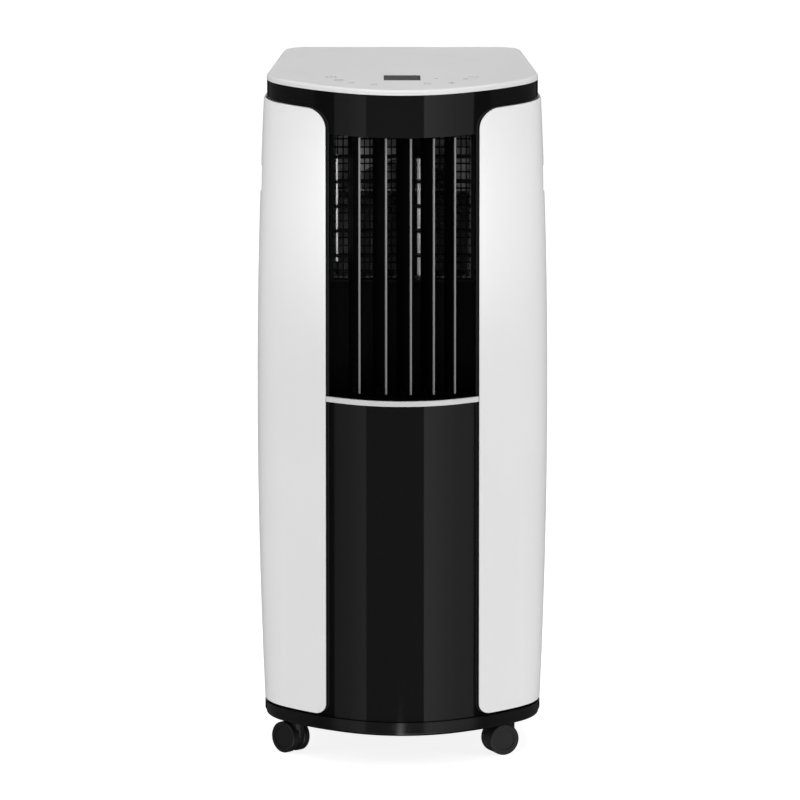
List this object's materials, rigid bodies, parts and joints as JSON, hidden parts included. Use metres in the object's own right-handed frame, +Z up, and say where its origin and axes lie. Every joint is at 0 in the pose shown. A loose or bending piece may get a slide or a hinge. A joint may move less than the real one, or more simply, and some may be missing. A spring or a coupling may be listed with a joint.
{
  "type": "portable air conditioner",
  "caption": "Upright room air conditioner on swivelling twin casters, with a glossy front, tall outlet with swinging vanes, rear filters and a round exhaust collar.",
  "frame": {"origin": "middle of the bounding box's underside, on the floor under the casters", "axes": "+Z up, the outlet and display face -Y, the exhaust collar faces +Y, +X to the right seen from the front"},
  "size_m": [0.3286, 0.36, 0.77],
  "materials": {
    "base_tray": "black moulded ABS, polished",
    "front_panel": "black moulded ABS, high gloss",
    "fascia": "black moulded ABS, high gloss",
    "divider_trim": "satin silver trim",
    "side_panel_left": "white moulded ABS, satin",
    "side_panel_right": "white moulded ABS, satin",
    "handle_cup_left": "white moulded plastic",
    "handle_cup_right": "white moulded plastic",
    "top_cover": "pale moulded ABS, satin",
    "display_window": "smoked acrylic",
    "rear_cover": "white moulded plastic, fine texture",
    "upper_filter_grille": "white moulded plastic",
    "lower_filter_grille": "white moulded plastic",
    "upper_filter_mesh": "woven nylon filter mesh",
    "lower_filter_mesh": "woven nylon filter mesh",
    "exhaust_collar": "white moulded plastic",
    "drain_plug_upper": "black rubber",
    "drain_plug_lower": "black rubber",
    "cord_gland": "black nylon",
    "cord_hooks": "white moulded plastic",
    "outlet_frame": "black moulded plastic",
    "link_bar": "black acetal",
    "swing_motor": "plated steel can",
    "guide_grille": "black moulded plastic",
    "finger_guard": "black moulded plastic",
    "outlet_duct": "black moulded plastic",
    "duct_splitter": "white expanded foam",
    "exhaust_duct": "white moulded plastic",
    "mid_deck": "black moulded plastic",
    "evaporator_fins": "aluminium fins",
    "condenser_fins": "aluminium fins",
    "evaporator_tubes": "copper tube",
    "condenser_tubes": "copper tube",
    "upper_blower_scroll": "white moulded plastic",
    "lower_blower_scroll": "black moulded plastic",
    "upper_blower_wheel": "grey moulded plastic",
    "lower_blower_wheel": "black moulded plastic",
    "upper_blower_motor": "painted steel",
    "lower_blower_motor": "painted steel",
    "compressor": "black painted steel",
    "accumulator": "black painted steel",
    "compressor_grommets": "black rubber",
    "control_box": "white moulded plastic",
    "control_board": "green circuit board",
    "run_capacitor": "grey plastic case",
    "display_board": "green circuit board",
    "rear_screws": "zinc-plated steel",
    "vane_1": "dark blade with a silver leading edge",
    "vane_2": "dark blade with a silver leading edge",
    "vane_3": "dark blade with a silver leading edge",
    "vane_4": "dark blade with a silver leading edge",
    "vane_5": "dark blade with a silver leading edge",
    "caster_housing_fl": "black nylon",
    "caster_wheels_fl": "black nylon",
    "caster_housing_fr": "black nylon",
    "caster_wheels_fr": "black nylon",
    "caster_housing_rl": "black nylon",
    "caster_wheels_rl": "black nylon",
    "caster_housing_rr": "black nylon",
    "caster_wheels_rr": "black nylon"
  },
  "bodies": {
    "casing": {"base_tray": "base_tray", "front_panel": "front_panel", "fascia": "fascia", "divider_trim": "divider_trim", "side_panel_left": "side_panel_left", "side_panel_right": "side_panel_right", "handle_cup_left": "handle_cup_left", "handle_cup_right": "handle_cup_right", "top_cover": "top_cover", "display_window": "display_window", "rear_cover": "rear_cover", "exhaust_collar": "exhaust_collar", "cord_gland": "cord_gland", "cord_hooks": "cord_hooks", "outlet_frame": "outlet_frame", "swing_motor": "swing_motor", "guide_grille": "guide_grille", "finger_guard": "finger_guard", "outlet_duct": "outlet_duct", "duct_splitter": "duct_splitter", "exhaust_duct": "exhaust_duct", "mid_deck": "mid_deck", "evaporator_fins": "evaporator_fins", "condenser_fins": "condenser_fins", "evaporator_tubes": "evaporator_tubes", "condenser_tubes": "condenser_tubes", "upper_blower_scroll": "upper_blower_scroll", "lower_blower_scroll": "lower_blower_scroll", "upper_blower_motor": "upper_blower_motor", "lower_blower_motor": "lower_blower_motor", "compressor": "compressor", "accumulator": "accumulator", "compressor_grommets": "compressor_grommets", "control_box": "control_box", "control_board": "control_board", "run_capacitor": "run_capacitor", "display_board": "display_board", "rear_screws": "rear_screws"},
    "upper_filter": {"upper_filter_grille": "upper_filter_grille", "upper_filter_mesh": "upper_filter_mesh"},
    "lower_filter": {"lower_filter_grille": "lower_filter_grille", "lower_filter_mesh": "lower_filter_mesh"},
    "drain_plug_upper": {"drain_plug_upper": "drain_plug_upper"},
    "drain_plug_lower": {"drain_plug_lower": "drain_plug_lower"},
    "link_bar": {"link_bar": "link_bar"},
    "upper_blower_wheel": {"upper_blower_wheel": "upper_blower_wheel"},
    "lower_blower_wheel": {"lower_blower_wheel": "lower_blower_wheel"},
    "vane_1": {"vane_1": "vane_1"},
    "vane_2": {"vane_2": "vane_2"},
    "vane_3": {"vane_3": "vane_3"},
    "vane_4": {"vane_4": "vane_4"},
    "vane_5": {"vane_5": "vane_5"},
    "caster_fl": {"caster_housing_fl": "caster_housing_fl"},
    "wheels_fl": {"caster_wheels_fl": "caster_wheels_fl"},
    "caster_fr": {"caster_housing_fr": "caster_housing_fr"},
    "wheels_fr": {"caster_wheels_fr": "caster_wheels_fr"},
    "caster_rl": {"caster_housing_rl": "caster_housing_rl"},
    "wheels_rl": {"caster_wheels_rl": "caster_wheels_rl"},
    "caster_rr": {"caster_housing_rr": "caster_housing_rr"},
    "wheels_rr": {"caster_wheels_rr": "caster_wheels_rr"}
  },
  "joints": [
    {"name": "vane_3_swing", "type": "hinge", "parent": "casing", "child": "vane_3", "pos_m": [0, -0.144, 0.5685], "axis": [0, 0, 1], "range_deg": [-60, 12]},
    {"name": "vane_1_swing", "type": "hinge", "parent": "casing", "child": "vane_1", "pos_m": [-0.0534, -0.144, 0.5685], "axis": [0, 0, 1], "range_deg": [-60, 12]},
    {"name": "vane_2_swing", "type": "hinge", "parent": "casing", "child": "vane_2", "pos_m": [-0.0267, -0.144, 0.5685], "axis": [0, 0, 1], "range_deg": [-60, 12]},
    {"name": "vane_4_swing", "type": "hinge", "parent": "casing", "child": "vane_4", "pos_m": [0.0267, -0.144, 0.5685], "axis": [0, 0, 1], "range_deg": [-60, 12]},
    {"name": "vane_5_swing", "type": "hinge", "parent": "casing", "child": "vane_5", "pos_m": [0.0534, -0.144, 0.5685], "axis": [0, 0, 1], "range_deg": [-60, 12]},
    {"name": "link_bar_pivot", "type": "hinge", "parent": "vane_3", "child": "link_bar", "pos_m": [-0.00407, -0.13487, 0.4206], "axis": [0, 0, 1], "range_deg": [-12, 60]},
    {"name": "upper_blower_spin", "type": "hinge", "parent": "casing", "child": "upper_blower_wheel", "pos_m": [0, 0.059, 0.575], "axis": [0, 1, 0], "continuous": true},
    {"name": "lower_blower_spin", "type": "hinge", "parent": "casing", "child": "lower_blower_wheel", "pos_m": [0, 0.059, 0.205], "axis": [0, 1, 0], "continuous": true},
    {"name": "caster_fl_swivel", "type": "hinge", "parent": "casing", "child": "caster_fl", "pos_m": [-0.1195, -0.094, 0.036], "axis": [0, 0, 1], "continuous": true},
    {"name": "wheels_fl_roll", "type": "hinge", "parent": "caster_fl", "child": "wheels_fl", "pos_m": [-0.12657, -0.08693, 0.0178], "axis": [0.7071, 0.7071, 0], "continuous": true},
    {"name": "caster_fr_swivel", "type": "hinge", "parent": "casing", "child": "caster_fr", "pos_m": [0.1195, -0.094, 0.036], "axis": [0, 0, 1], "continuous": true},
    {"name": "wheels_fr_roll", "type": "hinge", "parent": "caster_fr", "child": "wheels_fr", "pos_m": [0.11033, -0.09799, 0.0178], "axis": [-0.3987, 0.9171, 0], "continuous": true},
    {"name": "caster_rl_swivel", "type": "hinge", "parent": "casing", "child": "caster_rl", "pos_m": [-0.1195, 0.118, 0.036], "axis": [0, 0, 1], "continuous": true},
    {"name": "wheels_rl_roll", "type": "hinge", "parent": "caster_rl", "child": "wheels_rl", "pos_m": [-0.12124, 0.10815, 0.0178], "axis": [-0.9848, 0.1736, 0], "continuous": true},
    {"name": "caster_rr_swivel", "type": "hinge", "parent": "casing", "child": "caster_rr", "pos_m": [0.1195, 0.118, 0.036], "axis": [0, 0, 1], "continuous": true},
    {"name": "wheels_rr_roll", "type": "hinge", "parent": "caster_rr", "child": "wheels_rr", "pos_m": [0.11608, 0.1274, 0.0178], "axis": [0.9397, 0.342, 0], "continuous": true},
    {"name": "upper_filter_pull", "type": "slide", "parent": "casing", "child": "upper_filter", "axis": [0, 1, 0], "range_m": [0, 0.06]},
    {"name": "drain_plug_upper_pull", "type": "slide", "parent": "casing", "child": "drain_plug_upper", "axis": [0, 1, 0], "range_m": [0, 0.03]},
    {"name": "lower_filter_pull", "type": "slide", "parent": "casing", "child": "lower_filter", "axis": [0, 1, 0], "range_m": [0, 0.06]},
    {"name": "drain_plug_lower_pull", "type": "slide", "parent": "casing", "child": "drain_plug_lower", "axis": [0, 1, 0], "range_m": [0, 0.03]}
  ],
  "couplings": [
    {"joint": "vane_1_swing", "follows": "vane_3_swing", "ratio": 1},
    {"joint": "vane_2_swing", "follows": "vane_3_swing", "ratio": 1},
    {"joint": "vane_4_swing", "follows": "vane_3_swing", "ratio": 1},
    {"joint": "vane_5_swing", "follows": "vane_3_swing", "ratio": 1},
    {"joint": "link_bar_pivot", "follows": "vane_3_swing", "ratio": -1}
  ]
}
